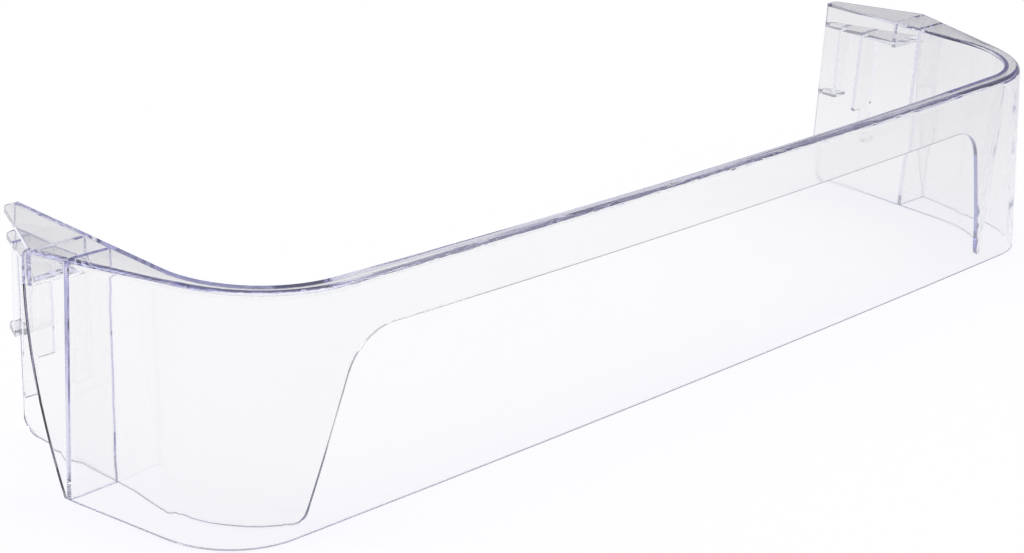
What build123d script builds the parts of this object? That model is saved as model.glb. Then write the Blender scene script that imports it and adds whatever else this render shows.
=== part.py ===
import os

from build123d import *

# Overall size, in millimetres
length = 490.6
depth = 124.5
height = 83.9
wall = 1.8

# Rim that joins the two walls along the top
rim_thickness = 1.8
rim_width = 4.9
rim_turn_width = 11.2
rim_corner_step = 10.2
rim_edge_round = 0.5
rim_outer_round = 2.8

# Inner wall, measured on its inside face, at the rim and at the foot
inner_inset = 23.8
inner_front_inset = 2.3
inner_draft_side = 0.3
inner_draft_front_side = 2.7
inner_draft_front = 1.2
inner_bow_top = 6.3
inner_bow_base = 0.8
inner_radius_top = 38.7
inner_radius_base = 36.2
inner_heel_radius = 7.0

# Outer wall, measured on its outside face, at the rim and at the foot
outer_web_inset_base = 4.8
outer_front_inset_base = 17.4
outer_draft_front = 1.9
outer_bow_top = 2.5
outer_bow_base = 2.6
outer_radius_base = 32.0

# Window cut in the front of the inner wall
window_band = 20.7
window_foot_inset = 53.6
window_slope = 0.3
window_top_radius = 19.0
window_foot_radius = 5.0

# Cross plates between the two walls, set back from the rear edge
web_setback = 52.1
ear_setback = 38.8

# Ear behind the rear cross plate, with a ledge under it
ear_back_reach = 5.7
ear_step = 2.9
ear_lip = 0.4
ear_corner_radius = 4.0
ledge_front_inset = 4.4
ledge_back_inset = 0.6
ledge_drop = 9.6
ledge_thickness = 1.8
ear_plate_drop = 0.8

# Ribs under the ledge that guide the shelf on the door
rib_rear_setback = 8.4
rib_rear_drop = 32.2
rib_front_setback = 20.5
rib_front_drop = 35.7
tab_drop = 13.3
tab_width = 6.8

# Positions worked out from the sizes above
half = length / 2
front_y = -depth / 2
back_y = depth / 2
margin = depth / 4
close_y = back_y + margin
web_y = back_y - web_setback
ear_y = back_y - ear_setback
ear_rear_y = ear_y + wall / 2
lip_y = ear_rear_y + ear_lip
rib_rear_y = back_y - rib_rear_setback
rib_front_y = back_y - rib_front_setback
inner_half = half - inner_inset
ear_back_half = inner_half + ear_back_reach
ledge_top = height - ledge_drop
ledge_base = ledge_top - ledge_thickness
rib_rear_foot = ledge_base - rib_rear_drop
rib_front_foot = ledge_base - rib_front_drop
tab_foot = rib_front_foot - tab_drop
window_height = height - window_band
window_base_half = half - window_foot_inset


def along(x_rear, y_rear, x_front, y_front, y):
    return x_front + (x_rear - x_front) * (y - y_front) / (y_rear - y_front)


def outline(rear_half, front_half, corner_y, middle_y, radius):
    left = Line((-rear_half, close_y), (-front_half, corner_y))
    front = ThreePointArc((-front_half, corner_y), (0, middle_y), (front_half, corner_y))
    right = Line((front_half, corner_y), (rear_half, close_y))
    rear = Line((rear_half, close_y), (-rear_half, close_y))
    face = make_face([left, front, right, rear])
    corners = face.vertices().sort_by(Axis.Y)[:2]
    return fillet(corners, radius)


def grown(face, amount):
    return offset(face, amount=amount, kind=Kind.INTERSECTION)


def tub(base, top):
    return loft([base, Pos(0, 0, height) * top], ruled=True)


def slab(y_low, y_high, z_low, z_high):
    box = Box(2 * length, y_high - y_low, z_high - z_low)
    return Pos(0, (y_low + y_high) / 2, (z_low + z_high) / 2) * box


# Inside face of the inner wall
inner_top_middle_y = front_y + rim_width
inner_top_corner_y = inner_top_middle_y + inner_bow_top
inner_front_half = inner_half - inner_front_inset
inner_top = outline(inner_half, inner_front_half, inner_top_corner_y, inner_top_middle_y, inner_radius_top)

inner_base_corner_y = inner_top_corner_y + inner_draft_front
inner_base_middle_y = inner_base_corner_y - inner_bow_base
inner_base = outline(
    inner_half - inner_draft_side, inner_front_half - inner_draft_front_side,
    inner_base_corner_y, inner_base_middle_y, inner_radius_base)

# Outside face of the outer wall, led past the inner corner at the width of the rim there
turn_y = inner_top_corner_y + inner_radius_top
turn_half = along(inner_half, close_y, inner_front_half, inner_top_corner_y, turn_y) + rim_turn_width
outer_top_corner_y = front_y + outer_bow_top
outer_top_front = along(half, lip_y, turn_half, turn_y, outer_top_corner_y)
outer_top_rear = along(half, lip_y, turn_half, turn_y, close_y)
outer_radius_top = inner_radius_top + rim_corner_step
outer_top = outline(outer_top_rear, outer_top_front, outer_top_corner_y, front_y, outer_radius_top)

outer_base_middle_y = front_y + outer_draft_front
outer_base_corner_y = outer_base_middle_y + outer_bow_base
outer_base_front = half - outer_front_inset_base
outer_base_web = half - outer_web_inset_base
outer_base_rear = along(outer_base_web, web_y, outer_base_front, outer_base_corner_y, close_y)
outer_base = outline(
    outer_base_rear, outer_base_front, outer_base_corner_y, outer_base_middle_y, outer_radius_base)

# Solid blocks bounded by the four faces of the two walls
outer_block = tub(outer_base, outer_top)
outer_void = tub(grown(outer_base, -wall), grown(outer_top, -wall))
inner_block = tub(grown(inner_base, wall), grown(inner_top, wall))
interior = tub(inner_base, inner_top)

# Plates and ribs run into the middle of the inner wall
inner_middle = tub(grown(inner_base, wall / 2), grown(inner_top, wall / 2))

# Outer wall, its rear edge sweeping down and forward to the full-height cross plate
web_rear_y = web_y + wall / 2
heel = TangentArc((lip_y, ledge_base), (web_rear_y, 0), tangent=(0, -1))
side_profile = make_face([
    heel,
    Line((lip_y, ledge_base), (lip_y, height)),
    Line((lip_y, height), (front_y - margin, height)),
    Line((front_y - margin, height), (front_y - margin, 0)),
    Line((front_y - margin, 0), (web_rear_y, 0)),
])
side_keep = extrude(Plane.YZ * side_profile, amount=length, both=True)
outer_wall = (outer_block - outer_void) & side_keep

# Inner wall, its lower rear corners rounded and a wide window open below in front
end_profile = Pos((front_y - margin + back_y) / 2, height / 2) * Rectangle(back_y - front_y + margin, height)
heel_corner = end_profile.vertices().sort_by(Axis.Y)[:2].sort_by(Axis.X)[-1]
end_profile = fillet(heel_corner, inner_heel_radius)
end_keep = extrude(Plane.YZ * end_profile, amount=length, both=True)

window_top_half = window_base_half - window_slope * window_height
window = Polygon(
    (-window_base_half, 0), (window_base_half, 0),
    (window_top_half, window_height), (-window_top_half, window_height), align=None)
window = fillet(window.vertices().sort_by(Axis.Y)[-2:], window_top_radius)
window = window + Pos(0, -margin / 2) * Rectangle(length, margin)
feet = [v for v in window.vertices() if abs(v.Y) < wall / 2 and abs(v.X) < half - wall]
window = fillet(feet, window_foot_radius)
window_cut = Pos(0, front_y, 0) * extrude(Plane.XZ * window, amount=depth / 2, both=True)
inner_wall = ((inner_block - interior) & end_keep) - window_cut

# Plan of the ears, behind the rear end of the outer wall, with slanted sides
def ear_trim(lip_inset, back_inset, z_low, z_high):
    plan_back = ear_back_half - back_inset
    plan_front = along(half - lip_inset, lip_y, plan_back, back_y, ear_y)
    plan = Polygon(
        (-plan_front, ear_y), (plan_front, ear_y), (plan_back, back_y), (-plan_back, back_y), align=None)
    plan = fillet(plan.vertices().sort_by(Axis.Y)[-2:], ear_corner_radius)
    return Pos(0, 0, z_low) * extrude(plan, z_high - z_low)


# Rim between the walls, widening into the ears, with the two cross plates under it at each end
rim_base = height - rim_thickness
rim_keep = slab(front_y - margin, lip_y, rim_base, height) + ear_trim(ear_step, 0, rim_base, height)
web_keep = slab(web_y - wall / 2, web_rear_y, 0, height)
ear_keep = slab(ear_y - wall / 2, ear_rear_y, ledge_base - ear_plate_drop, height)
bridges = (outer_block & (rim_keep + web_keep + ear_keep)) - inner_middle

# Ledge, rear rib with its foot plate, and front rib with its hanging tab
core = ear_trim(ledge_front_inset, ledge_back_inset, tab_foot, ledge_top)
ledge = core & slab(ear_y, back_y, ledge_base, ledge_top)
rib_rear = core & slab(rib_rear_y - wall / 2, rib_rear_y + wall / 2, rib_rear_foot, ledge_top)
foot_plate = core & slab(rib_rear_y - wall / 2, back_y, rib_rear_foot, rib_rear_foot + wall)
rib_front = core & slab(rib_front_y - wall / 2, rib_front_y + wall / 2, tab_foot, ledge_top)
tab_outer = along(
    half - ledge_front_inset, lip_y, ear_back_half - ledge_back_inset, back_y, rib_front_y)
tab_gap = Pos(0, rib_front_y, (tab_foot + rib_front_foot) / 2) * Box(
    2 * (tab_outer - tab_width), 2 * wall, rib_front_foot - tab_foot)
guides = (ledge + rib_rear + foot_plate + (rib_front - tab_gap)) - inner_middle

shelf = outer_wall + inner_wall + bridges + guides
shelf = shelf.solids().sort_by(SortBy.VOLUME)[-1]

# Outer wall rolled over into the rim, and the inner edge of the rim softened
rim_edges = [e for e in shelf.edges() if e.bounding_box().min.Z > height - rim_thickness / 4]
rim_front_edges = [e for e in rim_edges if e.position_at(0.5).Y < ear_y]
outer_edges = [e for e in rim_front_edges if inner_block.distance_to(e.position_at(0.5)) > wall / 2]
shelf = fillet(outer_edges, rim_outer_round)
inner_edges = [
    e for e in shelf.edges()
    if e.bounding_box().min.Z > height - rim_thickness / 4 and interior.distance_to(e.position_at(0.5)) < wall / 4]
shelf = fillet(inner_edges, rim_edge_round)

os.makedirs("parts", exist_ok=True)
export_step(shelf, "parts/door_shelf.step")
print("volume", round(shelf.volume), "size", shelf.bounding_box().size, "valid", shelf.is_valid)
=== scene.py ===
# %% [markdown]
# # A clear fridge door shelf
# The object is a guard shelf from a fridge door: one injection-moulded piece of clear plastic with
# double walls, a rim that joins them and a ribbed ear at each end. Its shape is finished in the CAD
# model, so this lesson is about the looks of clear plastic: a body that you see through, cut edges
# that gather the colour of the resin, and a studio that gives those edges something to show.
#
# Light crosses many walls on its way through the shelf, so it is allowed many bounces. With few,
# paths would end inside the plastic and leave black patches.

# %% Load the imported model
import math

import bpy
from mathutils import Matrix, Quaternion, Vector


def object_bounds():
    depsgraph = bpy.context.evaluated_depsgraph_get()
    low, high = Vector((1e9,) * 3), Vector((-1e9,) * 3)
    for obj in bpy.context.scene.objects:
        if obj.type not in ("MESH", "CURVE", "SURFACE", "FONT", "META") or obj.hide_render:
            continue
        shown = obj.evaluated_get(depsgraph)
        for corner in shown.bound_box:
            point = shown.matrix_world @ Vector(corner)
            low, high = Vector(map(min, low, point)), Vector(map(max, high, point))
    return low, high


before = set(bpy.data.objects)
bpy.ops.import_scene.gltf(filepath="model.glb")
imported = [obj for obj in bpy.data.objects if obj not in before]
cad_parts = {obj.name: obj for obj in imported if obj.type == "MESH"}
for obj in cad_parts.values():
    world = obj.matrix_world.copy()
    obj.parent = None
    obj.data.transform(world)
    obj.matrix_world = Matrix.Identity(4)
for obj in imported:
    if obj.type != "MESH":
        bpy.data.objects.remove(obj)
cad_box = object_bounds()
MM = 0.001
LIGHT_BOUNCES = 64

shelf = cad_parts["door_shelf"]
scene = bpy.context.scene
scene.view_settings.view_transform = "Standard"
scene.cycles.max_bounces = LIGHT_BOUNCES
scene.cycles.glossy_bounces = LIGHT_BOUNCES
scene.cycles.transmission_bounces = LIGHT_BOUNCES
print("shelf faces:", len(shelf.data.polygons))
print("shelf box in mm:", [round((high - low) / MM, 1) for low, high in zip(*cad_box)])

# %% [markdown]
# ## Three small tools
# Colours are written as sRGB hex values, as a paint chart gives them, and turned to the linear
# values that shaders need by one function. A second function adds one node of any kind, with its
# settings and links in one call, so that each material below reads as a list of what it is made of.
# A socket is called by its name, with _ for a space, or as i0, i1 and so on by its place in the
# list, where names repeat. A third function empties a node tree before a material is built in it.

# %% Colour and node tools
def linear(hex_colour):
    """An sRGB hex colour as linear red, green, blue and alpha."""
    channels = [int(hex_colour[i:i + 2], 16) / 255 for i in (1, 3, 5)]
    return [c / 12.92 if c <= 0.04045 else ((c + 0.055) / 1.055) ** 2.4 for c in channels] + [1.0]


def add(tree, kind, settings=None, **inputs):
    """Adds a node. Each input is a value for that socket, or the output socket that feeds it."""
    node = tree.nodes.new(kind)
    for name, value in (settings or {}).items():
        setattr(node, name, value)
    for name, value in inputs.items():
        key = int(name[1:]) if name[0] == "i" and name[1:].isdigit() else name.replace("_", " ")
        if isinstance(value, bpy.types.NodeSocket):
            tree.links.new(value, node.inputs[key])
        else:
            node.inputs[key].default_value = value
    return node


def empty_tree(owner):
    """Clears the node tree of a material or world and gives it back."""
    owner.use_nodes = True
    owner.node_tree.nodes.clear()
    return owner.node_tree


print("mid grey in linear light:", [round(c, 3) for c in linear("#808080")])

# %% [markdown]
# ## Clear polystyrene
# General purpose polystyrene is the usual resin for fridge shelves: stiff, glass clear and dense
# enough to bend light strongly, with an index of 1.59. A thin wall of it looks almost white on
# white, but light that runs a long way inside, along a wall and out of a cut edge, comes out
# violet, because a little blue toner is added to hide the yellow of the resin. A shader colour
# would tint every wall alike, so the toner goes in the volume, where distance does the work.
#
# The skin copies a polished steel mould. It is never quite flat: the melt leaves long shallow
# waves, and handling leaves a faint haze. Both are noise patterns with a size in millimetres.
#
# Clear plastic throws hardly any shadow in soft light. A path tracer finds that slowly through
# many bends of light, so rays that only ask whether a lamp is hidden pass straight through. Rays
# that leave the matt floor do the same, or the floor would count the same light twice.

# %% The clear polystyrene of the shelf
WAVE_LENGTH = 25 * MM
WAVE_HEIGHT = 0.06 * MM
HAZE_SIZE = 25 * MM
HAZE_LEAST = 0.35
HAZE_MOST = 0.7
POLISHED_ROUGHNESS = 0.01
HANDLED_ROUGHNESS = 0.05
POLYSTYRENE_IOR = 1.59
RESIN_CLARITY = "#FDFDFC"
TONER_DENSITY = 10.0
TONER_COLOUR = "#8080D8"
SHADOW_TINT = "#FEFEFE"


def clear_polystyrene():
    material = bpy.data.materials.new("clear_injection_moulded_polystyrene")
    tree = empty_tree(material)
    place = add(tree, "ShaderNodeTexCoord").outputs["Object"]
    waves = add(tree, "ShaderNodeTexNoise", Vector=place, Scale=1 / WAVE_LENGTH, Detail=1.0)
    haze = add(tree, "ShaderNodeTexNoise", Vector=place, Scale=1 / HAZE_SIZE, Detail=4.0)
    gloss = add(tree, "ShaderNodeMapRange", Value=haze.outputs["Fac"],
                From_Min=HAZE_LEAST, From_Max=HAZE_MOST,
                To_Min=POLISHED_ROUGHNESS, To_Max=HANDLED_ROUGHNESS)
    skin = add(tree, "ShaderNodeBump", Height=waves.outputs["Fac"], Strength=1.0, Distance=WAVE_HEIGHT)
    plastic = add(tree, "ShaderNodeBsdfPrincipled", Roughness=gloss.outputs["Result"],
                  Normal=skin.outputs["Normal"], IOR=POLYSTYRENE_IOR, Transmission_Weight=1.0)
    plastic.inputs["Base Color"].default_value = linear(RESIN_CLARITY)
    through = add(tree, "ShaderNodeBsdfTransparent", Color=linear(SHADOW_TINT))
    rays = add(tree, "ShaderNodeLightPath")
    unbent = add(tree, "ShaderNodeMath", {"operation": "MAXIMUM"},
                 i0=rays.outputs["Is Shadow Ray"], i1=rays.outputs["Is Diffuse Ray"])
    surface = add(tree, "ShaderNodeMixShader", Fac=unbent.outputs["Value"],
                  i1=plastic.outputs["BSDF"], i2=through.outputs["BSDF"])
    toner = add(tree, "ShaderNodeVolumeAbsorption", Color=linear(TONER_COLOUR), Density=TONER_DENSITY)
    add(tree, "ShaderNodeOutputMaterial",
        Surface=surface.outputs["Shader"], Volume=toner.outputs["Volume"])
    return material


resin = clear_polystyrene()
for slot in shelf.material_slots:
    slot.material = resin
print("material slots on the shelf:", [slot.material.name for slot in shelf.material_slots])

# %% [markdown]
# ## Eased edges
# No edge that leaves a mould is razor sharp: a cutter and a polisher leave a radius of a fifth of a
# millimetre or so. On clear plastic that radius draws the outline, and it also lets out light that
# sharp edges would keep running along inside the walls, which would turn the rim dark. The model
# keeps its sharp edges, and three modifiers ease what is shown: the first joins the points that
# faces share, the second rounds each edge that turns sharply, and the third leans the shading of
# each point towards the faces that are largest and fill the widest angle there, so that flat walls
# stay flat beside their small rounds and curved walls stay even across thin facets.

# %% Ease the moulded edges
JOIN_DISTANCE = 0.1 * MM
EDGE_EASE = 0.18 * MM
EDGE_STEPS = 2
EDGE_TURN = math.radians(60)

join = shelf.modifiers.new("joined_points", "WELD")
join.merge_threshold = JOIN_DISTANCE
ease = shelf.modifiers.new("eased_edges", "BEVEL")
ease.width = EDGE_EASE
ease.segments = EDGE_STEPS
ease.limit_method = "ANGLE"
ease.angle_limit = EDGE_TURN
ease.use_clamp_overlap = False
flat = shelf.modifiers.new("flat_walls", "WEIGHTED_NORMAL")
flat.mode = "FACE_AREA_WITH_ANGLE"
eased = shelf.evaluated_get(bpy.context.evaluated_depsgraph_get()).data
print("faces with eased edges:", len(eased.polygons))

# %% [markdown]
# ## Light
# Clear things show the room. In an evenly white room this shelf would vanish, so the room is dim
# and grey at eye level and brighter overhead, as under a large soft ceiling light. Walls show the
# white floor and stay pale, the rounded rim looks up and is paler than it would be in an even grey,
# and edges that bend the view sideways turn dark. Two far soft boxes, drawn as broad sun lamps so
# that the floor is lit evenly, give soft shadows and small glints.

# %% Dim room and far soft boxes
EYE_LEVEL_GREY = "#84848A"
OVERHEAD_GREY = "#D8D8DC"
SOFT_BOX_ANGLE = math.radians(28)


def far_soft_box(name, heading, height, strength):
    """Adds a broad sun lamp and gives back the light that it puts on the floor.

    Heading is the way its light travels, clockwise from straight back, seen from above. Height is
    how far it stands above the horizon. Both are in degrees.
    """
    lamp = bpy.data.lights.new(name, "SUN")
    lamp.energy = strength
    lamp.angle = SOFT_BOX_ANGLE
    box = bpy.data.objects.new(name, lamp)
    box.rotation_euler = (math.pi / 2 - math.radians(height), 0, -math.radians(heading))
    scene.collection.objects.link(box)
    return strength * math.sin(math.radians(height)) / math.pi


room = bpy.data.worlds.new("dim_grey_room")
scene.world = room
tree = empty_tree(room)
way = add(tree, "ShaderNodeSeparateXYZ", Vector=add(tree, "ShaderNodeTexCoord").outputs["Generated"])
grey = add(tree, "ShaderNodeMix", {"data_type": "RGBA"}, i0=way.outputs["Z"],
           i6=linear(EYE_LEVEL_GREY), i7=linear(OVERHEAD_GREY))
dim = add(tree, "ShaderNodeBackground", Color=grey.outputs[2], Strength=1.0)
add(tree, "ShaderNodeOutputWorld", Surface=dim.outputs["Background"])
# The floor faces up, so the upper grey counts for two thirds of the room's light on it
floor_light = linear(EYE_LEVEL_GREY)[0] / 3 + linear(OVERHEAD_GREY)[0] * 2 / 3
floor_light += far_soft_box("key_soft_box", heading=-60, height=60, strength=0.8)
floor_light += far_soft_box("fill_soft_box", heading=130, height=50, strength=0.4)
print("light on the floor, where white is 1:", round(floor_light, 3))

# %% [markdown]
# ## The floor
# The shelf stands on a white sweep that fills the picture. The floor is a plain matt white that
# takes the faint shadow, with a little light of its own that only eyes, mirrors and glass see,
# so that it reads as paper white without more light on the shelf.
#
# A moulding rests on a few high spots, so the paper lies a hair below the lower edges. That air
# gap matters here: with it, light inside a wall bounces off the lower edge and draws a thin line.
#
# The soft boxes light the paper evenly, so a fall-off of light far to the right of the shelf is
# painted
# into the glow: the camera still sees that paper as white, but what mirrors and glass see there is a
# little dimmer, a painted shade that turns the right end of the shelf a soft grey.

# %% White floor
FLOOR_SIZE = 12.0
AIR_GAP = 0.4 * MM
PAPER_WHITE = "#F3F3F3"
GLOW_WHITE = "#FFFFFF"
# Painted shade: where the glow that mirrors and glass see starts and ends its fall-off to the right,
# and how much of it is lost
PAINTED_FALLOFF_START = 50 * MM
PAINTED_FALLOFF_END = 600 * MM
PAINTED_FALLOFF_MOST = 0.2
paper_glow = 1.0 - floor_light * linear(PAPER_WHITE)[0]


def white_paper():
    material = bpy.data.materials.new("matt_white_paper")
    tree = empty_tree(material)
    matt = add(tree, "ShaderNodeBsdfDiffuse", Color=linear(PAPER_WHITE))
    rays = add(tree, "ShaderNodeLightPath")
    place = add(tree, "ShaderNodeTexCoord").outputs["Object"]
    across = add(tree, "ShaderNodeSeparateXYZ", Vector=place)
    # Painted shade: the glow that mirrors and glass see fades towards the right, standing in for light
    # that falls off
    painted_falloff = add(tree, "ShaderNodeMapRange", {"interpolation_type": "SMOOTHSTEP"},
                 Value=across.outputs["X"], From_Min=PAINTED_FALLOFF_START, From_Max=PAINTED_FALLOFF_END,
                 To_Min=paper_glow, To_Max=paper_glow - PAINTED_FALLOFF_MOST)
    bent = add(tree, "ShaderNodeMath", {"operation": "ADD", "use_clamp": True},
               i0=rays.outputs["Is Glossy Ray"], i1=rays.outputs["Is Transmission Ray"])
    through = add(tree, "ShaderNodeMath", {"operation": "MULTIPLY"},
                  i0=bent.outputs["Value"], i1=painted_falloff.outputs["Result"])
    glow = add(tree, "ShaderNodeMath", {"operation": "MULTIPLY_ADD"},
               i0=rays.outputs["Is Camera Ray"], i1=paper_glow, i2=through.outputs["Value"])
    lit = add(tree, "ShaderNodeEmission", Color=linear(GLOW_WHITE), Strength=glow.outputs["Value"])
    both = add(tree, "ShaderNodeAddShader", i0=matt.outputs["BSDF"], i1=lit.outputs["Emission"])
    add(tree, "ShaderNodeOutputMaterial", Surface=both.outputs["Shader"])
    return material


bpy.ops.mesh.primitive_plane_add(size=FLOOR_SIZE, location=(0, 0, cad_box[0][2] - AIR_GAP))
floor = bpy.context.object
floor.name = "floor"
floor.data.materials.append(white_paper())
print("floor glow:", round(paper_glow, 3))

# %% [markdown]
# ## Camera
# The camera looks down on the shelf's left front corner with a short telephoto lens. Its place,
# its turn and its lens come from matching mirrored pairs of corners of the shelf in the picture.

# %% Camera
PICTURE_WIDTH = 1024
FOCAL_PIXELS = 2243.7
CAMERA_PLACE = Vector((-613.0, -538.7, 344.5)) * MM
CAMERA_HEADING = math.radians(46.417)
CAMERA_PITCH = math.radians(21.717)
CAMERA_ROLL = math.radians(3.057)

camera = bpy.data.objects.new("camera", bpy.data.cameras.new("camera"))
camera.data.sensor_fit = "HORIZONTAL"
camera.data.lens = camera.data.sensor_width * FOCAL_PIXELS / PICTURE_WIDTH
level = Vector((math.sin(CAMERA_HEADING), math.cos(CAMERA_HEADING), 0)) * math.cos(CAMERA_PITCH)
sight = level - Vector((0, 0, math.sin(CAMERA_PITCH)))
turn = sight.to_track_quat("-Z", "Y") @ Quaternion((0, 0, 1), CAMERA_ROLL)
camera.location = CAMERA_PLACE
camera.rotation_euler = turn.to_euler()
scene.collection.objects.link(camera)
scene.camera = camera
print("lens in mm:", round(camera.data.lens, 2))
